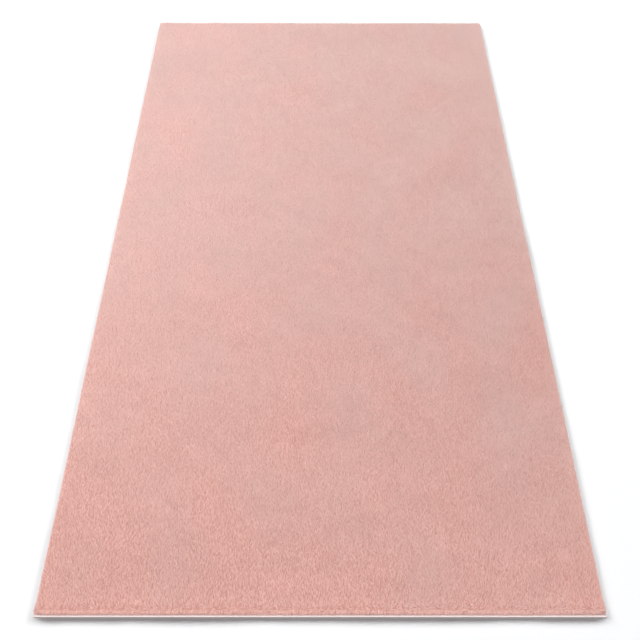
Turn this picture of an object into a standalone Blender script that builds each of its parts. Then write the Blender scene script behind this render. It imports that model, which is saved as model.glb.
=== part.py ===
"""Plush shag rug, lying flat: one piece of pile fabric, and the serging round its cut rim in four runs.

Metres, +Z up. The origin is the middle of the underside, the rug's length lies along Y, and the floor is Z = 0.
"""

import math
import random
from collections import namedtuple

import bmesh
import bpy
from mathutils import Vector, noise

# The rug's outline, measured over the serged edge
WIDTH = 0.80
LENGTH = 1.50

# The serged edge: thick yarn wound round the ground's cut rim, flat on the floor
EDGE_WIDTH = 0.0050
EDGE_HEIGHT = 0.0034
EDGE_FULLNESS = 0.6  # power of the sine that rounds its top: 1 is half an ellipse, less is squarer
EDGE_FACETS = 7  # of that rounded top

GAP = 0.0003  # between two pieces that lie against each other

# The pile's top: short, dense fibre in broad, low lumps with smaller ones on them
PILE_HEIGHT = 0.0123
TOP_INSET = 0.0210  # of its outermost line, inside the outline
CELLS_ACROSS = 36
CELLS_ALONG = 64
CELL_DRIFT = 0.0045  # how far a point of the top may lie off its even place
Lumps = namedtuple("Lumps", "spacing rise level")  # the level is where they are cut out of the noise
BROAD_LUMPS = Lumps(0.110, 0.0018, 0.0)
FINE_LUMPS = Lumps(0.031, 0.0016, 3.0)

# The locks: four-sided tapered tufts, side by side, that lean out of the rim over the serged edge
LOCKS_ACROSS = 54
LOCKS_ALONG = 96
LOCK_REACH = 0.0044
LOCK_DROOP = 0.0007
LOCK_SWAY = 0.0016  # to either side
LOCK_TIP = 0.30  # of the size at the root
LOCK_UNEVEN = 0.25  # share by which the reach and the droop vary
LOCK_SEED = 5
CORNER_TURN = 0.030  # how far from a corner the locks begin to fan out round it

# The rim of the fabric, from the floor up: how far each line runs inside the outline, and how high.
# The locks grow out of the band between the root line and the brow.
RimLine = namedtuple("RimLine", "inset height")
FOOT = RimLine(EDGE_WIDTH + GAP, 0.0)
ROOT = RimLine(EDGE_WIDTH + GAP, 0.0042)
BROW = RimLine(0.0059, 0.0097)
SHOULDER = RimLine(0.0094, 0.0115)
CORNER_PULL = 0.0016  # how far the pile draws in at the rug's four corners

# Colours are linear
PILE_COLOUR = (0.72, 0.43, 0.38)
EDGE_COLOUR = (0.88, 0.73, 0.70)
YARN_ROUGHNESS = 0.9
CREASE_ANGLE = math.radians(30)


def clear_scene():
    for item in list(bpy.data.objects):
        bpy.data.objects.remove(item)


def yarn(name, colour):
    """A matt yarn finish."""
    material = bpy.data.materials.new(name)
    material.use_nodes = True
    shader = material.node_tree.nodes["Principled BSDF"]
    shader.inputs["Base Color"].default_value = (*colour, 1.0)
    shader.inputs["Roughness"].default_value = YARN_ROUGHNESS
    shader.inputs["Metallic"].default_value = 0.0
    return material


def piece(name, shape, material):
    """A new object made of a finished bmesh."""
    bmesh.ops.recalc_face_normals(shape, faces=shape.faces)
    mesh = bpy.data.meshes.new(name)
    shape.to_mesh(mesh)
    shape.free()
    mesh.materials.append(material)
    mesh.shade_smooth()
    mesh.set_sharp_from_angle(angle=CREASE_ANGLE)
    item = bpy.data.objects.new(name, mesh)
    bpy.context.scene.collection.objects.link(item)
    return item


def lump_rise(x, y):
    """How far the pile's top stands above or below its mean height at a place."""
    return sum(
        lumps.rise * noise.noise(Vector((x / lumps.spacing, y / lumps.spacing, lumps.level)))
        for lumps in (BROAD_LUMPS, FINE_LUMPS)
    )


def walk_round(across, along):
    """The points of a line round the rug, anticlockwise from a corner, as shares of the half width and length."""
    end = [(2 * i / across - 1, -1.0) for i in range(across)]
    side = [(1.0, 2 * j / along - 1) for j in range(along)]
    return end + side + [(-u, -v) for u, v in end + side]


def rim_ring(fabric, line):
    """One line of points round the fabric, drawn in at the corners where it is pile."""
    half_width, half_length = WIDTH / 2 - line.inset, LENGTH / 2 - line.inset
    ring = []
    for u, v in walk_round(LOCKS_ACROSS, LOCKS_ALONG):
        pull = CORNER_PULL if line in (BROW, SHOULDER) and abs(u) == abs(v) == 1 else 0.0
        x, y = u * (half_width - pull), v * (half_length - pull)
        rise = lump_rise(x, y) if line is SHOULDER else 0.0
        ring.append(fabric.verts.new((x, y, line.height + rise)))
    return ring


def bridge(shape, lower, upper):
    """Quads between two rings of as many points."""
    corners = zip(lower, lower[1:] + lower[:1], upper[1:] + upper[:1], upper)
    return [shape.faces.new(quad) for quad in corners]


def zip_rings(fabric, outer, inner):
    """Triangles between two rings of unlike numbers of points, which start at the same corner."""
    a = b = 0
    while a < len(outer) or b < len(inner):
        outer_point, inner_point = outer[a % len(outer)], inner[b % len(inner)]
        if (a + 1) / len(outer) <= (b + 1) / len(inner):
            a += 1
            fabric.faces.new((inner_point, outer_point, outer[a % len(outer)]))
        else:
            b += 1
            fabric.faces.new((inner_point, outer_point, inner[b % len(inner)]))


def lumpy_top(fabric):
    """The pile's top as a grid of drifting points. Returns its outermost ones, in the order of walk_round."""
    half_width, half_length = WIDTH / 2 - TOP_INSET, LENGTH / 2 - TOP_INSET
    grid = {}
    for i in range(CELLS_ACROSS + 1):
        for j in range(CELLS_ALONG + 1):
            x = (2 * i / CELLS_ACROSS - 1) * half_width
            y = (2 * j / CELLS_ALONG - 1) * half_length
            if 0 < i < CELLS_ACROSS and 0 < j < CELLS_ALONG:
                drift = noise.noise_vector(Vector((x, y, 0.0)) / FINE_LUMPS.spacing) * CELL_DRIFT
                x, y = x + drift.x, y + drift.y
            grid[i, j] = fabric.verts.new((x, y, PILE_HEIGHT + lump_rise(x, y)))
    for i in range(CELLS_ACROSS):
        for j in range(CELLS_ALONG):
            fabric.faces.new((grid[i, j], grid[i + 1, j], grid[i + 1, j + 1], grid[i, j + 1]))
    front = [grid[i, 0] for i in range(CELLS_ACROSS)]
    right = [grid[CELLS_ACROSS, j] for j in range(CELLS_ALONG)]
    back = [grid[i, CELLS_ALONG] for i in range(CELLS_ACROSS, 0, -1)]
    left = [grid[0, j] for j in range(CELLS_ALONG, 0, -1)]
    return front + right + back + left


def outward(place):
    """The level direction out of the rug at a place on its rim, which turns gradually round a corner."""
    reach_x, reach_y = WIDTH / 2 - CORNER_TURN, LENGTH / 2 - CORNER_TURN
    inner = Vector((min(max(place.x, -reach_x), reach_x), min(max(place.y, -reach_y), reach_y), place.z))
    return (place - inner).normalized()


def grow_locks(fabric, root_faces):
    """Draws each of the rim's faces out into a tapered lock."""
    chance = random.Random(LOCK_SEED)
    for tip in bmesh.ops.extrude_discrete_faces(fabric, faces=root_faces)["faces"]:
        root = tip.calc_center_median()
        out = outward(root)
        sideways = out.cross(Vector((0.0, 0.0, 1.0)))
        reach = LOCK_REACH * chance.uniform(1 - LOCK_UNEVEN, 1 + LOCK_UNEVEN)
        droop = LOCK_DROOP * chance.uniform(1 - LOCK_UNEVEN, 1 + LOCK_UNEVEN)
        sway = LOCK_SWAY * chance.uniform(-1, 1)
        end = root + out * reach + sideways * sway - Vector((0.0, 0.0, droop))
        for corner in tip.verts:
            corner.co = end + (corner.co - root) * LOCK_TIP


def pile_fabric():
    """The rug's one piece of cloth: the ground flat on the floor, the pile on it, and the locks round its rim."""
    fabric = bmesh.new()
    foot, root, brow, shoulder = (rim_ring(fabric, line) for line in (FOOT, ROOT, BROW, SHOULDER))
    fabric.faces.new(foot)
    bridge(fabric, foot, root)
    lock_roots = bridge(fabric, root, brow)
    bridge(fabric, brow, shoulder)
    zip_rings(fabric, shoulder, lumpy_top(fabric))
    grow_locks(fabric, lock_roots)
    return piece("pile_fabric", fabric, yarn("pile_yarn", PILE_COLOUR))


def serged_section():
    """The serged edge's section, flat underneath: how far inside the outline each point lies, and how high."""
    turns = [math.pi * n / EDGE_FACETS for n in range(EDGE_FACETS + 1)]
    return [
        (EDGE_WIDTH * (1 - math.cos(turn)) / 2, EDGE_HEIGHT * max(math.sin(turn), 0.0) ** EDGE_FULLNESS)
        for turn in turns
    ]


def serged_edge(name, run, reach, turn, material):
    """One straight run of serging: its length over all, its distance from the rug's middle, and its turn about Z."""
    bar = bmesh.new()
    mitre_gap = GAP * math.sqrt(0.5)
    ends = []
    for side in (-1, 1):
        ends.append([
            bar.verts.new((side * (run / 2 - inset - mitre_gap), inset - reach, height))
            for inset, height in serged_section()
        ])
        bar.faces.new(ends[-1])
    bridge(bar, *ends)
    item = piece(name, bar, material)
    item.rotation_euler.z = turn


def serged_edges():
    """The four runs, sewn one after another round the rug and mitred where they meet."""
    material = yarn("edge_yarn", EDGE_COLOUR)
    Run = namedtuple("Run", "side length reach quarters")
    for run in (
        Run("front", WIDTH, LENGTH / 2, 0),
        Run("right", LENGTH, WIDTH / 2, 1),
        Run("back", WIDTH, LENGTH / 2, 2),
        Run("left", LENGTH, WIDTH / 2, 3),
    ):
        serged_edge(f"serged_edge_{run.side}", run.length, run.reach, run.quarters * math.pi / 2, material)


clear_scene()
pile_fabric()
serged_edges()
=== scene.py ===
import math

import bpy
import numpy as np
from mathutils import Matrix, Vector, noise


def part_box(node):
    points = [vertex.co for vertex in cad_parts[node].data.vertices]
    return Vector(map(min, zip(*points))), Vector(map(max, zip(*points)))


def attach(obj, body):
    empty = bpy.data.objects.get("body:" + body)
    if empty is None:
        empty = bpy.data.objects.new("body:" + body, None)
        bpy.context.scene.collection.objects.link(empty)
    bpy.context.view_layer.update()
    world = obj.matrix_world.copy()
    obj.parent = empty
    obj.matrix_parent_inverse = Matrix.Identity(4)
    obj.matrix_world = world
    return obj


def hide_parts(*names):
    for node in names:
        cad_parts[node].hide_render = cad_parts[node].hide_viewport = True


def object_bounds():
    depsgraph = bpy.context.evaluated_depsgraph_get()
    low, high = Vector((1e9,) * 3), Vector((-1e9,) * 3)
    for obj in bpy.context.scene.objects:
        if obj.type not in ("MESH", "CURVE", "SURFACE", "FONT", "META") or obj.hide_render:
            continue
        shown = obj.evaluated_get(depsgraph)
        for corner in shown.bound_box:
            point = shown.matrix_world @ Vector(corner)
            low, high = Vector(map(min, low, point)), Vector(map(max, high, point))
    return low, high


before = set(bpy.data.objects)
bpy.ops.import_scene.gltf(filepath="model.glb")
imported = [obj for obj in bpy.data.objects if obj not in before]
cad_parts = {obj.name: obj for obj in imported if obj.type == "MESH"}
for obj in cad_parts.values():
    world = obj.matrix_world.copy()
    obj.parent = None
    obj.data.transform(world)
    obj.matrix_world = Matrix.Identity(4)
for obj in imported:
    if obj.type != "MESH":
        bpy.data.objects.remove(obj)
cad_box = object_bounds()

# The camera stands before the rug's near end and looks down along it, so the long sides run away to a
# vanishing point far above the picture. Its lens, height and tilt follow from the outline's four corners.
CAMERA_LENS = 49.42  # millimetres
CAMERA_FRAME = 36.0  # millimetres across, a full frame
CAMERA_HEIGHT = 1.2027
CAMERA_BEFORE_RUG = 0.4718
CAMERA_TILT_DOWN = 49.90  # degrees

camera_data = bpy.data.cameras.new("camera")
camera_data.lens = CAMERA_LENS
camera_data.sensor_width = CAMERA_FRAME
camera = bpy.data.objects.new("camera", camera_data)
camera.location = (0.0, cad_box[0].y - CAMERA_BEFORE_RUG, CAMERA_HEIGHT)
camera.rotation_euler = (math.radians(90 - CAMERA_TILT_DOWN), 0.0, 0.0)
bpy.context.scene.collection.objects.link(camera)
bpy.context.scene.camera = camera

# The ground: a thin knitted cloth, felted underneath, that all the pile stands in. It is cut to the rug's
# outline less the serging and lies flat on the floor. The pile covers it, so it shows only from below.
edge_low, edge_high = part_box("serged_edge_front")
EDGE_WIDTH = edge_high.y - edge_low.y
EDGE_HEIGHT = edge_high.z
HALF_WIDTH = cad_box[1].x
HALF_LENGTH = cad_box[1].y
GROUND_GAP = 0.0003  # between the ground and the serging
GROUND_HALF = np.array([HALF_WIDTH, HALF_LENGTH]) - EDGE_WIDTH - GROUND_GAP
GROUND_THICK = 0.0022
GROUND_CELL = 0.025
FELT_DARK = (0.60, 0.36, 0.32)
FELT_PALE = (0.76, 0.52, 0.48)
FIBRE_SPECULAR = 0.2
FIBRE_SHEEN_ROUGHNESS = 0.5
FIBRE_SHEEN_TINT = (1.0, 0.80, 0.76)
FUZZ_DETAIL = 4.0
FUZZ_ROUGHNESS = 0.62
FUZZ_DISTORTION = 0.8
FUZZ_RANGE = (0.3, 0.7)  # of the noise, spread over the two colours
FUZZ_BUMP = 0.6


def mesh_of(name, points, faces, smooth=True):
    """A new object from an array of points and an array of faces with as many corners each."""
    mesh = bpy.data.meshes.new(name)
    corners = faces.shape[1]
    mesh.vertices.add(len(points))
    mesh.vertices.foreach_set("co", np.ascontiguousarray(points, np.float32).ravel())
    mesh.loops.add(faces.size)
    mesh.loops.foreach_set("vertex_index", np.ascontiguousarray(faces, np.int32).ravel())
    mesh.polygons.add(len(faces))
    mesh.polygons.foreach_set("loop_start", np.arange(0, faces.size, corners, dtype=np.int32))
    mesh.update(calc_edges=True)
    if smooth:
        mesh.shade_smooth()
    item = bpy.data.objects.new(name, mesh)
    bpy.context.scene.collection.objects.link(item)
    return item


def closed_sheet(x, y, low, high):
    """Points and quads of a closed sheet over a grid of places: underside, top and the band between."""
    grid_x, grid_y = np.meshgrid(x, y)
    below, above = (
        np.column_stack([grid_x.ravel(), grid_y.ravel(), np.broadcast_to(height, grid_x.shape).ravel()])
        for height in (low, high)
    )
    index = np.arange(grid_x.size).reshape(grid_x.shape)
    quads = np.stack([index[:-1, :-1], index[:-1, 1:], index[1:, 1:], index[1:, :-1]], -1).reshape(-1, 4)
    rim = np.concatenate([index[0, :-1], index[:-1, -1], index[-1, :0:-1], index[:0:-1, 0]])
    after = np.roll(rim, -1)
    wall = np.column_stack([rim, after, after + grid_x.size, rim + grid_x.size])
    return np.concatenate([below, above]), np.concatenate([quads[:, ::-1], quads + grid_x.size, wall])


def principled(name, roughness, sheen=0.0):
    """A new matt material: itself, its node tree and its Principled shader."""
    material = bpy.data.materials.new(name)
    material.use_nodes = True
    shader = material.node_tree.nodes["Principled BSDF"]
    shader.inputs["Roughness"].default_value = roughness
    shader.inputs["Specular IOR Level"].default_value = FIBRE_SPECULAR
    shader.inputs["Sheen Weight"].default_value = sheen
    shader.inputs["Sheen Roughness"].default_value = FIBRE_SHEEN_ROUGHNESS
    shader.inputs["Sheen Tint"].default_value = (*FIBRE_SHEEN_TINT, 1)
    return material, material.node_tree, shader


def node_group(name, inputs, outputs):
    """An empty shader group with the sockets named, and its two ends."""
    group = bpy.data.node_groups.new(name, "ShaderNodeTree")
    for label, kind, value in inputs:
        group.interface.new_socket(label, in_out="INPUT", socket_type=kind).default_value = value
    for label, kind in outputs:
        group.interface.new_socket(label, in_out="OUTPUT", socket_type=kind)
    return group, group.nodes.new("NodeGroupInput"), group.nodes.new("NodeGroupOutput")


def fuzz_group():
    """Loose fibre ends matted over a surface: a colour that goes between two, and a height for a bump."""
    group, given, result = node_group(
        "matted_fuzz",
        [
            ("Size", "NodeSocketFloat", 400.0),
            ("Stretch", "NodeSocketVector", (1.0, 1.0, 1.0)),
            ("Dark", "NodeSocketColor", (0.5, 0.5, 0.5, 1.0)),
            ("Pale", "NodeSocketColor", (0.8, 0.8, 0.8, 1.0)),
        ],
        [("Colour", "NodeSocketColor"), ("Height", "NodeSocketFloat")],
    )
    place = group.nodes.new("ShaderNodeTexCoord")
    stretched = group.nodes.new("ShaderNodeVectorMath")
    stretched.operation = "MULTIPLY"
    hairs = group.nodes.new("ShaderNodeTexNoise")
    hairs.inputs["Detail"].default_value = FUZZ_DETAIL
    hairs.inputs["Roughness"].default_value = FUZZ_ROUGHNESS
    hairs.inputs["Distortion"].default_value = FUZZ_DISTORTION
    blend = group.nodes.new("ShaderNodeMix")
    blend.data_type = "RGBA"
    spread = group.nodes.new("ShaderNodeMapRange")
    spread.inputs["From Min"].default_value = FUZZ_RANGE[0]
    spread.inputs["From Max"].default_value = FUZZ_RANGE[1]
    group.links.new(place.outputs["Object"], stretched.inputs[0])
    group.links.new(given.outputs["Stretch"], stretched.inputs[1])
    group.links.new(stretched.outputs["Vector"], hairs.inputs["Vector"])
    group.links.new(given.outputs["Size"], hairs.inputs["Scale"])
    group.links.new(hairs.outputs["Fac"], spread.inputs["Value"])
    group.links.new(spread.outputs["Result"], blend.inputs["Factor"])
    group.links.new(given.outputs["Dark"], blend.inputs["A"])
    group.links.new(given.outputs["Pale"], blend.inputs["B"])
    group.links.new(blend.outputs["Result"], result.inputs["Colour"])
    group.links.new(spread.outputs["Result"], result.inputs["Height"])
    return group


matted_fuzz = fuzz_group()


def add_fuzz(tree, shader, size, dark, pale, depth, stretch=(1.0, 1.0, 1.0)):
    """Places the matted fuzz in a material, as its colour and as a bump of a given depth."""
    fuzz = tree.nodes.new("ShaderNodeGroup")
    fuzz.node_tree = matted_fuzz
    fuzz.inputs["Size"].default_value = size
    fuzz.inputs["Stretch"].default_value = stretch
    fuzz.inputs["Dark"].default_value = (*dark, 1.0)
    fuzz.inputs["Pale"].default_value = (*pale, 1.0)
    bump = tree.nodes.new("ShaderNodeBump")
    bump.inputs["Strength"].default_value = FUZZ_BUMP
    bump.inputs["Distance"].default_value = depth
    tree.links.new(fuzz.outputs["Colour"], shader.inputs["Base Color"])
    tree.links.new(fuzz.outputs["Height"], bump.inputs["Height"])
    tree.links.new(bump.outputs["Normal"], shader.inputs["Normal"])
    return fuzz


def even_steps(half, cell):
    """Places from one side of the rug to the other, about a cell apart."""
    return np.linspace(-half, half, round(2 * half / cell) + 1)


ground_x, ground_y = (even_steps(half, GROUND_CELL) for half in GROUND_HALF)
ground = mesh_of("ground", *closed_sheet(ground_x, ground_y, 0.0, GROUND_THICK), smooth=False)
felt, tree, shader = principled("felted_ground", roughness=0.95)
add_fuzz(tree, shader, size=420.0, dark=FELT_DARK, pale=FELT_PALE, depth=0.0004)
ground.data.materials.append(felt)
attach(ground, "root")
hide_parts("pile_fabric")

# The heart of the pile: below the tips the fibre stands so close that it closes into one springy mass, with
# broad soft lumps, rounded off at the rim. It shows only between the tips, as their shade. Its colours are
# painted shade, deeper than the tips', and they turn paler towards the far end as painted sheen.
HEART_TOP = 0.0094  # where the tufts are rooted, on average
HEART_SKIN = 0.0004  # how far its surface stands above their roots
HEART_ROUND = 0.0018  # how far inside the rim it reaches its full height
HEART_ROUND_STEPS = (0.0, 0.25, 0.5, 0.75)  # of that quarter turn
HEART_INSET = 0.0004
HEART_CELL = 0.0090
BROAD_LUMPS = (0.110, 0.0018, 0.0)  # spacing, rise, and the level at which they are cut out of the noise
FINE_LUMPS = (0.031, 0.0010, 3.0)
# Painted light: deeper than the tips as painted shade down in the pile, paler at the far end as painted
# sheen
HEART_DARK_PAINTED_LIGHT = ((0.50, 0.23, 0.19), (0.54, 0.34, 0.30))  # at the near end and at the far end
HEART_PALE_PAINTED_LIGHT = ((0.62, 0.32, 0.275), (0.61, 0.40, 0.36))


def lump_rise(x, y):
    """How far the pile stands above or below its mean height, at each of many places."""
    lumps = (BROAD_LUMPS, FINE_LUMPS)
    rise = [
        sum(high * noise.noise(Vector((a / size, b / size, level))) for size, high, level in lumps)
        for a, b in zip(x.ravel(), y.ravel())
    ]
    return np.array(rise).reshape(x.shape)


def to_rim(x, y):
    """How far inside the ground's cut rim each place lies."""
    return np.minimum(GROUND_HALF[0] - np.abs(x), GROUND_HALF[1] - np.abs(y))


def heart_height(x, y):
    """How high the tufts are rooted at each place: level, but for the lumps, and rounded off at the rim."""
    short = 1 - (to_rim(x, y) / HEART_ROUND).clip(0, 1)
    return GROUND_THICK + (HEART_TOP - GROUND_THICK + lump_rise(x, y)) * np.sqrt(1 - short**2)


def heart_steps(half):
    """Places across the heart, closer together where it is rounded."""
    rounding = HEART_ROUND * (1 - np.cos(np.pi / 2 * np.array(HEART_ROUND_STEPS)))
    outer = half - HEART_INSET - rounding
    inner = even_steps(half - HEART_INSET - HEART_ROUND, HEART_CELL)
    return np.concatenate([-outer, inner, outer[::-1]])


heart_x, heart_y = (heart_steps(half) for half in GROUND_HALF)
heart_top = heart_height(*np.meshgrid(heart_x, heart_y)) + HEART_SKIN
heart = mesh_of("pile_heart", *closed_sheet(heart_x, heart_y, GROUND_THICK, heart_top))
heart_yarn, tree, shader = principled("pile_heart", roughness=0.95, sheen=0.2)
fuzz = add_fuzz(
    tree, shader, size=520.0, dark=HEART_DARK_PAINTED_LIGHT[0], pale=HEART_PALE_PAINTED_LIGHT[0], depth=0.0006, stretch=(1.0, 0.5, 1.0)
)
place = tree.nodes.new("ShaderNodeTexCoord")
split = tree.nodes.new("ShaderNodeSeparateXYZ")
along = tree.nodes.new("ShaderNodeMapRange")
along.inputs["From Min"].default_value = -HALF_LENGTH
along.inputs["From Max"].default_value = HALF_LENGTH
tree.links.new(place.outputs["Object"], split.inputs["Vector"])
tree.links.new(split.outputs["Y"], along.inputs["Value"])
# The painted sheen: the heart's colours go from the near end's to the far end's
for shade, (near_colour, far_colour) in (("Dark", HEART_DARK_PAINTED_LIGHT), ("Pale", HEART_PALE_PAINTED_LIGHT)):
    drift = tree.nodes.new("ShaderNodeMix")
    drift.data_type = "RGBA"
    drift.inputs["A"].default_value = (*near_colour, 1.0)
    drift.inputs["B"].default_value = (*far_colour, 1.0)
    tree.links.new(along.outputs["Result"], drift.inputs["Factor"])
    tree.links.new(drift.outputs["Result"], fuzz.inputs[shade])
heart.data.materials.append(heart_yarn)
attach(heart, "root")
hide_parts("pile_fabric")

# The tips of the pile: fine crimped fibre, sheared level and then brushed. It clings in small pointed tufts,
# which lie over towards the rug's far end, wander a little from side to side, and turn outward at the rim.
PILE_SEED = 11
PILE_PIECES = 5
TUFT_SPACING = 0.00187
TUFT_ROWS = 0.87  # spacing of the rows, as a share of that
TUFT_DRIFT = 0.32  # how far a tuft may stand off its even place, as a share of the spacing
ROW_STAGGER = 0.25  # how far one row is shifted to the right and the next to the left
TUFT_WIDTH = 0.0023  # at the root
TUFT_RIDGE = 0.0008  # how far its middle stands above its two sides there
TUFT_LIE = 0.0056  # along the rug, from root to tip
TUFT_LIE_UNEVEN = 0.12
TUFT_RISE = 0.0018
TUFT_RISE_UNEVEN = 0.0003
TUFT_TURN = math.radians(22)  # how unevenly the tufts are turned, by chance

LOCK_ACROSS = 0.0036  # spacing of the locks that the tufts cling together in
LOCK_ALONG = 0.0066
LOCK_DRIFT = 0.38
LOCK_CLING = 0.12  # how far a tip is drawn to the middle of its lock
LOCK_CLING_WAY = (1.0, 0.3)  # in full across the rug, less along it
LOCK_RISE_UNEVEN = 0.0001
LOCK_TURN = math.radians(5)
WANDER = math.radians(22)  # how far the nap turns to either side, from one part of the rug to the next
WANDER_SPACING = 0.024
WANDER_STRETCH = 1.4  # how much longer that spacing is along the rug
WANDER_LEVEL = 7.0  # at which it is cut out of the noise

# Towards the rim the tufts turn out of their nap, to point outward, and grow shorter, lower and wider
RIM_FADE = 0.0029  # how far inside the rim they have mostly turned
RIM_FADE_UNEVEN = (0.75, 1.3)
RIM_PARTING = 0.15  # how far off straight a lock points at the near end, to one side or the other
RIM_SHORTER = 0.52
RIM_LOWER = 0.70
RIM_WIDER = 0.5

# The tone runs from 0, warm, to 1, cool: the dye's, with painted light laid over it along and across the rug
# The roots' colours are deeper than the tips' as painted shade down in the pile
ROOT_WARM = (0.60, 0.275, 0.225)
ROOT_COOL = (0.62, 0.41, 0.37)
TIP_WARM = (0.98, 0.665, 0.61)
TIP_COOL = (0.67, 0.47, 0.43)
# Painted light along the rug: cooler at the far end as painted sheen, warmer at the near end
END_PAINTED_LIGHT_TONE = (0.14, 0.68, 0.80)  # at the near end, half way and at the far end
# Painted shade: the right side cooler, where the light falls off
SIDE_PAINTED_SHADE_TONE = 0.16  # how much cooler the right side is than the middle
TUFT_DYE = 0.25  # how much a tuft's tone differs from its neighbour's
LOCK_DYE = 0.08  # a lock's from the next one's
PATCH_DYE = 0.35  # and one part's of the rug from another's
PATCH_SPACING = 0.085
PATCH_STRETCH = 1.5
PATCH_LEVEL = 12.0
TONE_MARGIN = 0.01  # kept free at both sides of the map that the dye is baked on
TONE_STRIP = 0.006  # half the width of a tuft on that map

# How far up from the root's colour to the tip's a tuft comes: chance, shared in part by its whole lock, and
# less half way along the rug and to its right, as painted shade
TIP_PALE = (0.20, 1.0)
LOCK_SHARE = 0.15
# Painted shade: the tufts come up less far in the middle of the rug and on its right side
MIDDLE_PAINTED_SHADE = 0.12  # how much less it comes up half way along the rug than at its ends
SIDE_PAINTED_SHADE = 0.46  # and at the right side than in the middle
SIDE_PAINTED_SHADE_ALONG = (0, 1, 0.9)  # the share of that at the near end, half way and at the far end


def scatter(half, spacing_x, spacing_y, drift, chance):
    """Places all over a rectangle, each a little off its even one: an array [row, column, (x, y)]."""
    columns = int(2 * half[0] / spacing_x)
    rows = int(2 * half[1] / spacing_y)
    x = (np.arange(columns) + 0.5) / columns * 2 * half[0] - half[0]
    y = (np.arange(rows) + 0.5) / rows * 2 * half[1] - half[1]
    grid = np.stack(np.meshgrid(x, y), -1)
    grid[1::2, :, 0] += ROW_STAGGER * spacing_x
    grid[::2, :, 0] -= ROW_STAGGER * spacing_x
    return grid + chance.uniform(-drift, drift, grid.shape) * (spacing_x, spacing_y)


def nearest_lock(roots, locks, half):
    """For each root the number of the lock whose middle is nearest, counting distance in locks."""
    rows, columns = locks.shape[:2]
    size = np.array([2 * half[0] / columns, 2 * half[1] / rows])
    home = np.floor((roots + half) / size).astype(int)
    best = np.full(len(roots), np.inf)
    found = np.zeros(len(roots), int)
    for down in (-1, 0, 1):
        for over in (-1, 0, 1):
            column = (home[:, 0] + over).clip(0, columns - 1)
            row = (home[:, 1] + down).clip(0, rows - 1)
            away = (((roots - locks[row, column]) / size) ** 2).sum(1)
            nearer = away < best
            best[nearer] = away[nearer]
            found[nearer] = (row * columns + column)[nearer]
    return found


def tufts(roots, tips, wider=0.0):
    """Tapering tufts, each of two faces that meet in a ridge along its top."""
    lie = tips - roots
    side = np.column_stack([-lie[:, 1], lie[:, 0], np.zeros(len(lie))])
    side /= np.linalg.norm(side, axis=1)[:, None]
    up = np.cross(lie, side)
    up /= np.linalg.norm(up, axis=1)[:, None]
    side *= TUFT_WIDTH / 2 * (1 + np.broadcast_to(wider, len(lie))[:, None])
    points = np.stack([roots - side, roots + up * TUFT_RIDGE, roots + side, tips], 1)
    faces = 4 * np.arange(len(roots))[:, None, None] + np.array([[1, 0, 3], [1, 3, 2]])
    return points.reshape(-1, 3), faces.reshape(-1, 3)


def painted_light_tone(places):
    """The tone at each place, but for its patches: warmer near and left, cooler far and right, all painted
    light.
    """
    across, along = (places / GROUND_HALF).T
    return np.interp(along, (-1, 0, 1), END_PAINTED_LIGHT_TONE) + SIDE_PAINTED_SHADE_TONE * across


def add_dye_and_painted_light(item, tone, pale):
    """Gives each point its tone and how far up its tuft it is, as attributes and as the map to bake on."""
    tone = TONE_MARGIN + (1 - 2 * TONE_MARGIN) * tone.clip(0, 1)
    up = np.zeros((len(tone), 4), np.float32)
    up[:, 3] = pale.clip(0, 1)
    up = up.ravel()
    item.data.attributes.new("up_the_tuft", "FLOAT", "POINT").data.foreach_set("value", up)
    tones = np.repeat(tone, 4).astype(np.float32)
    item.data.attributes.new("tuft_tone", "FLOAT", "POINT").data.foreach_set("value", tones)
    spread = tones + np.tile([-TONE_STRIP, 0.0, TONE_STRIP, 0.0], len(tone))
    corner = np.empty(len(item.data.loops), np.int32)
    item.data.loops.foreach_get("vertex_index", corner)
    places = np.column_stack([spread, up])[corner].astype(np.float32)
    item.data.uv_layers.new(name="OFBake").data.foreach_set("uv", places.ravel())


def tuft_yarn():
    """The pile's fibre: deeper at the root than at the tip, as painted shade down in the pile, and each tuft
    a little warmer or cooler.
    """
    material, tree, shader = principled("pile_yarn", roughness=0.9, sheen=1.0)
    up = tree.nodes.new("ShaderNodeAttribute")
    up.attribute_name = "up_the_tuft"
    tone = tree.nodes.new("ShaderNodeAttribute")
    tone.attribute_name = "tuft_tone"
    ends = []
    for warm, cool in ((ROOT_WARM, ROOT_COOL), (TIP_WARM, TIP_COOL)):
        end = tree.nodes.new("ShaderNodeMix")
        end.data_type = "RGBA"
        end.inputs["A"].default_value = (*warm, 1.0)
        end.inputs["B"].default_value = (*cool, 1.0)
        tree.links.new(tone.outputs["Fac"], end.inputs["Factor"])
        ends.append(end.outputs["Result"])
    along = tree.nodes.new("ShaderNodeMix")
    along.data_type = "RGBA"
    tree.links.new(up.outputs["Fac"], along.inputs["Factor"])
    tree.links.new(ends[0], along.inputs["A"])
    tree.links.new(ends[1], along.inputs["B"])
    tree.links.new(along.outputs["Result"], shader.inputs["Base Color"])
    return material


def finish_pile(item):
    """What every piece of the pile's tips shares."""
    item.data.materials.append(pile_yarn)
    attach(item, "root")
    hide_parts("pile_fabric")


def soft_noise(places, spacing, stretch, level):
    """Noise between -1 and 1 at each place, its swells longer along the rug than across."""
    return np.array([noise.noise(Vector((x / spacing, y / spacing / stretch, level))) for x, y in places])


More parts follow.
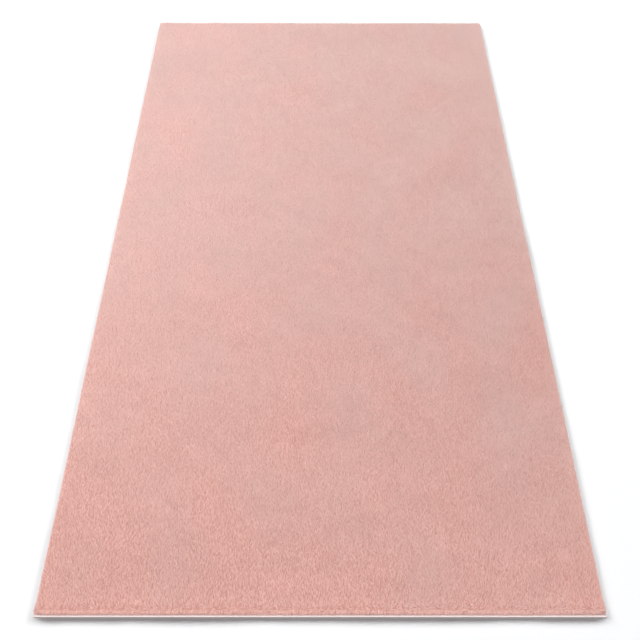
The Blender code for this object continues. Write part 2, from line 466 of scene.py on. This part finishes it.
# Where the tufts are rooted, and the locks they cling together in
chance = np.random.default_rng(PILE_SEED)
pile_half = GROUND_HALF - HEART_INSET
roots = scatter(pile_half, TUFT_SPACING, TUFT_SPACING * TUFT_ROWS, TUFT_DRIFT, chance).reshape(-1, 2)
locks = scatter(pile_half, LOCK_ACROSS, LOCK_ALONG, LOCK_DRIFT, chance)
lock_of = nearest_lock(roots, locks, pile_half)
lock_middle = locks.reshape(-1, 2)
wander = soft_noise(lock_middle, WANDER_SPACING, WANDER_STRETCH, WANDER_LEVEL)
lock_turn = WANDER * wander + chance.normal(0, LOCK_TURN, len(lock_middle))
lock_rise = chance.normal(0, LOCK_RISE_UNEVEN, len(lock_middle))
lock_tone, lock_pale = chance.uniform(0, 1, (2, len(lock_middle)))

# How they lie: with the nap, and outward at the rim
inset = GROUND_HALF - np.abs(roots)
out = np.sign(roots) * np.exp(-inset / RIM_FADE * chance.uniform(*RIM_FADE_UNEVEN, (len(roots), 1)))
out[:, 0] += RIM_PARTING * np.sign(lock_tone[lock_of] - 0.5) * (out[:, 1] < 0) * np.abs(out[:, 1])
rimward = np.linalg.norm(out, axis=1).clip(0, 1)
turn = lock_turn[lock_of] + chance.normal(0, TUFT_TURN, len(roots))
turn = turn * (1 - rimward) + np.arctan2(out[:, 0], out[:, 1]) * rimward
length = TUFT_LIE * (1 - RIM_SHORTER * rimward) * (1 + chance.normal(0, TUFT_LIE_UNEVEN, len(roots)))
lie = np.column_stack([np.sin(turn), np.cos(turn)]) * length[:, None]
lie += LOCK_CLING * (lock_middle[lock_of] - roots) * (1 - rimward)[:, None] * LOCK_CLING_WAY
rise = TUFT_RISE + lock_rise[lock_of] + chance.normal(0, TUFT_RISE_UNEVEN, len(roots))
rise *= 1 - RIM_LOWER * rimward
root_height = heart_height(roots[:, 0], roots[:, 1])
starts = np.column_stack([roots, root_height])
ends = np.column_stack([roots + lie, root_height + rise])

# How they are coloured: dyed at random, with painted light laid over the whole rug
patch = soft_noise(lock_middle, PATCH_SPACING, PATCH_STRETCH, PATCH_LEVEL)
tone = painted_light_tone(roots) + PATCH_DYE * patch[lock_of]
tone += LOCK_DYE * (lock_tone[lock_of] - 0.5) + TUFT_DYE * chance.uniform(-0.5, 0.5, len(roots))
luck = LOCK_SHARE * lock_pale[lock_of] + (1 - LOCK_SHARE) * chance.uniform(0, 1, len(roots))
pale = np.interp(luck, (0, 1), TIP_PALE)
# Painted shade over the rug: less far up half way along it and to the right
across, along = (roots / GROUND_HALF).T
side_painted_shade = SIDE_PAINTED_SHADE * across * np.interp(along, (-1, 0, 1), SIDE_PAINTED_SHADE_ALONG)
pale -= MIDDLE_PAINTED_SHADE * (1 - along**2) + side_painted_shade

# The zones, one after another from the near end
pile_yarn = tuft_yarn()
zone = (roots[:, 1] + GROUND_HALF[1]) / (2 * GROUND_HALF[1]) * PILE_PIECES
zone = zone.astype(int).clip(0, PILE_PIECES - 1)
for number in range(PILE_PIECES):
    mine = zone == number
    part = mesh_of(f"pile_{number + 1}", *tufts(starts[mine], ends[mine], RIM_WIDER * rimward[mine]))
    add_dye_and_painted_light(part, tone[mine], pale[mine])
    finish_pile(part)

# The rim of the pile: its outermost tufts, of the same fibre, rooted in the rounded side of the heart. They
# reach out over the serging, the upper ones furthest, and part here and there into small notches.
RIM_ROWS = 9
RIM_SPACING = 0.0019
RIM_DRIFT = 0.4  # how far a tuft may stand off its even place, as a share of the spacing
RIM_CORNER = 0.012  # how far from a corner the tufts begin to fan out round it
RIM_CLIMB = (0.36, 1.0)  # how far up the heart's quarter round the lowest and the highest are rooted
RIM_DEPTH = 0.0030  # how much further in the highest are rooted
RIM_DEPTH_BEND = 4  # the power by which that grows from the lowest up
RIM_REACH = (0.0031, 0.0038)  # of the lowest and of the highest, which overhang them
RIM_FRONT = 0.0042  # how much further they reach at the near end
RIM_REACH_UNEVEN = 0.1
RIM_TILT = np.radians([-22, -7])  # from level
RIM_TILT_UNEVEN = 0.12
RIM_SWAY = 0.0013  # to either side
RIM_TUFT_WIDER = 0.15
NOTCH_SPACING = 0.0045
NOTCH_DEPTH = 0.25  # as a share of the reach
NOTCH_DRIFT = 0.35  # from one row to the next, in spacings
RIM_DYE = 0.2
# Painted shade: the rim tufts come up only part way to their tips' colour, dimmer than the field's
RIM_PAINTED_SHADE_PALE = (0.25, 0.75)


def round_rim(count, inset, chance):
    """Places round the ground's rim, each with the way out of the rug, fanned out at the corners."""
    half_x, half_y = GROUND_HALF - inset
    width, length = 2 * half_x, 2 * half_y
    drift = chance.uniform(-RIM_DRIFT, RIM_DRIFT, count)
    along = (np.arange(count) + drift) / count * 2 * (width + length)
    corners = [0, width, width + length, 2 * width + length, 2 * (width + length)]
    x = np.interp(along, corners, [-half_x, half_x, half_x, -half_x, -half_x])
    y = np.interp(along, corners, [-half_y, -half_y, half_y, half_y, -half_y])
    way = np.column_stack([
        x - x.clip(-half_x + RIM_CORNER, half_x - RIM_CORNER),
        y - y.clip(-half_y + RIM_CORNER, half_y - RIM_CORNER),
    ])
    return along, np.column_stack([x, y]), way / np.linalg.norm(way, axis=1)[:, None]


rim_starts, rim_ends = [], []
count = int(4 * GROUND_HALF.sum() / RIM_SPACING)
for row in range(RIM_ROWS):
    along, edge_of_ground, way = round_rim(count, HEART_INSET, chance)
    share = (row + chance.uniform(0, 1, count)) / RIM_ROWS
    climb = np.pi / 2 * (RIM_CLIMB[0] + (RIM_CLIMB[1] - RIM_CLIMB[0]) * share)
    depth = HEART_ROUND * (1 - np.cos(climb)) + RIM_DEPTH * share**RIM_DEPTH_BEND
    root = edge_of_ground - way * depth[:, None]
    root_z = heart_height(root[:, 0], root[:, 1])
    notch = [noise.noise(Vector((s / NOTCH_SPACING, NOTCH_DRIFT * row, 0.0))) for s in along]
    uneven = chance.uniform(-RIM_REACH_UNEVEN, RIM_REACH_UNEVEN, count)
    reach = np.interp(share, (0, 1), RIM_REACH) * (1 + NOTCH_DEPTH * np.array(notch) + uneven)
    reach -= RIM_FRONT * way[:, 1].clip(-1, 0)
    tilt = RIM_TILT[0] + (RIM_TILT[1] - RIM_TILT[0]) * share + chance.normal(0, RIM_TILT_UNEVEN, count)
    sway = np.column_stack([-way[:, 1], way[:, 0]]) * chance.normal(0, RIM_SWAY, count)[:, None]
    tip = root + way * (reach * np.cos(tilt))[:, None] + sway
    rim_starts.append(np.column_stack([root, root_z]))
    rim_ends.append(np.column_stack([tip, root_z + reach * np.sin(tilt)]))
rim_starts, rim_ends = np.concatenate(rim_starts), np.concatenate(rim_ends)
rim = mesh_of("pile_rim", *tufts(rim_starts, rim_ends, RIM_TUFT_WIDER))
rim_tone = painted_light_tone(rim_starts[:, :2]) + chance.uniform(-RIM_DYE, RIM_DYE, len(rim_starts))
# The rim tufts come up less far than the field's: painted shade
add_dye_and_painted_light(rim, rim_tone, chance.uniform(*RIM_PAINTED_SHADE_PALE, len(rim_starts)))
finish_pile(rim)

# The serged edge: thick pale yarn wound closely round the cut rim of the ground, a little aslant, so that it
# can't fray. It is sewn in four runs, one for each side, which meet at the corners.
STITCH = 0.0030  # from one turn of the yarn to the next
STITCH_STEPS = 3
STITCH_SLANT = 0.0015
STITCH_SWELL = 0.14  # how deep the yarn sinks between two turns, as a share of its bulge
STITCH_SHARPNESS = 4
EDGE_FACETS = 8
EDGE_FULLNESS = 0.6  # power of the sine that rounds its top: 1 is half an ellipse, less is squarer
EDGE_MITRE_GAP = 0.0004  # between two runs at a corner
EDGE_DARK = (0.86, 0.71, 0.68)
EDGE_PALE = (0.94, 0.82, 0.80)


def serging(run, reach, turn):
    """One run of wound yarn along X, bulging at each turn of the yarn, then turned into its place."""
    steps = round(run / STITCH) * STITCH_STEPS
    angle = np.pi * np.arange(EDGE_FACETS + 1) / EDGE_FACETS
    along = np.linspace(-0.5, 0.5, steps + 1)[:, None] * np.ones(EDGE_FACETS + 1)
    inset = EDGE_WIDTH * (1 - np.cos(angle)) / 2 * np.ones((steps + 1, 1))
    phase = along * run / STITCH + np.cos(angle) * STITCH_SLANT / STITCH
    swell = 1 - STITCH_SWELL * np.cos(np.pi * phase) ** STITCH_SHARPNESS
    x = along * (run - 2 * inset - EDGE_MITRE_GAP)
    y = EDGE_WIDTH / 2 + (inset - EDGE_WIDTH / 2) * swell - reach
    z = EDGE_HEIGHT * np.maximum(np.sin(angle), 0) ** EDGE_FULLNESS * swell
    points = np.stack([x, y, z], -1).reshape(-1, 3)
    index = np.arange(len(points)).reshape(steps + 1, EDGE_FACETS + 1)
    after = np.roll(index, -1, 1)
    quads = np.stack([index[:-1], index[1:], after[1:], after[:-1]], -1).reshape(-1, 4)
    cos, sin = math.cos(turn), math.sin(turn)
    points[:, :2] = points[:, :2] @ np.array([[cos, sin], [-sin, cos]])
    return points, quads


edge_yarn, tree, shader = principled("edge_yarn", roughness=0.85, sheen=0.2)
add_fuzz(tree, shader, size=900.0, dark=EDGE_DARK, pale=EDGE_PALE, depth=0.0002)
for quarter, name in enumerate(("front", "right", "back", "left")):
    across = quarter % 2 == 0
    run, reach = (2 * HALF_WIDTH, HALF_LENGTH) if across else (2 * HALF_LENGTH, HALF_WIDTH)
    edge = mesh_of(f"serging_{name}", *serging(run, reach, quarter * math.pi / 2))
    edge.data.materials.append(edge_yarn)
    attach(edge, "root")
    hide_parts(f"serged_edge_{name}")

# The studio: a plain pale floor, a faintly cool room, three far keys behind the rug, a near lamp over its
# left side and a low one before its near end. Headings count to the right from straight behind. A lamp's
# share is of the open floor's brightness, which is 1 where it turns white in the picture.
FLOOR_GREY = 0.805
FLOOR_SIZE = 12
FLOOR_DROP = 0.0002  # so that the rug's underside doesn't lie in it
ROOM_COLOUR = (0.90, 0.98, 1.10)
ROOM_SHARE = 0.11
LAMPS = dict(  # heading and height in degrees, distance from the rug's middle and size in metres
    key_left=dict(heading=-44, height=34, away=20.0, size=9.0, share=0.33),
    key_behind=dict(heading=0, height=38, away=20.0, size=9.0, share=0.18),
    key_right=dict(heading=44, height=34, away=20.0, size=9.0, share=0.31),
    left_box=dict(heading=-75, height=62, away=1.7, size=0.8, share=0.17),
    front_box=dict(heading=180, height=5, away=8.0, size=1.3, share=0.055),
)

bpy.ops.mesh.primitive_plane_add(size=FLOOR_SIZE, location=(0, 0, -FLOOR_DROP))
floor = bpy.context.object
floor.name = "floor"
floor_paint, tree, shader = principled("floor", roughness=0.9)
shader.inputs["Base Color"].default_value = (FLOOR_GREY, FLOOR_GREY, FLOOR_GREY, 1)
shader.inputs["Specular IOR Level"].default_value = 0.0
floor.data.materials.append(floor_paint)

world = bpy.data.worlds.new("studio")
bpy.context.scene.world = world
world.use_nodes = True
background = world.node_tree.nodes["Background"]
background.inputs["Color"].default_value = (*ROOM_COLOUR, 1)
background.inputs["Strength"].default_value = ROOM_SHARE / FLOOR_GREY


def softbox(name, heading, height, away, size, share):
    """A round lamp that faces the rug's middle, strong enough to give the floor there its share of light."""
    heading, height = math.radians(heading), math.radians(height)
    level = math.cos(height)
    toward = Vector((math.sin(heading) * level, math.cos(heading) * level, math.sin(height)))
    data = bpy.data.lights.new(name, "AREA")
    data.shape = "DISK"
    data.size = size
    data.energy = share / FLOOR_GREY * (math.pi * away) ** 2 / toward.z
    lamp = bpy.data.objects.new(name, data)
    lamp.location = toward * away
    lamp.rotation_euler = toward.to_track_quat("Z", "Y").to_euler()
    lamp.visible_camera = False
    bpy.context.scene.collection.objects.link(lamp)


for name, sizes in LAMPS.items():
    softbox(name, **sizes)

bpy.context.scene.view_settings.view_transform = "Standard"
bpy.context.scene.view_settings.look = "None"
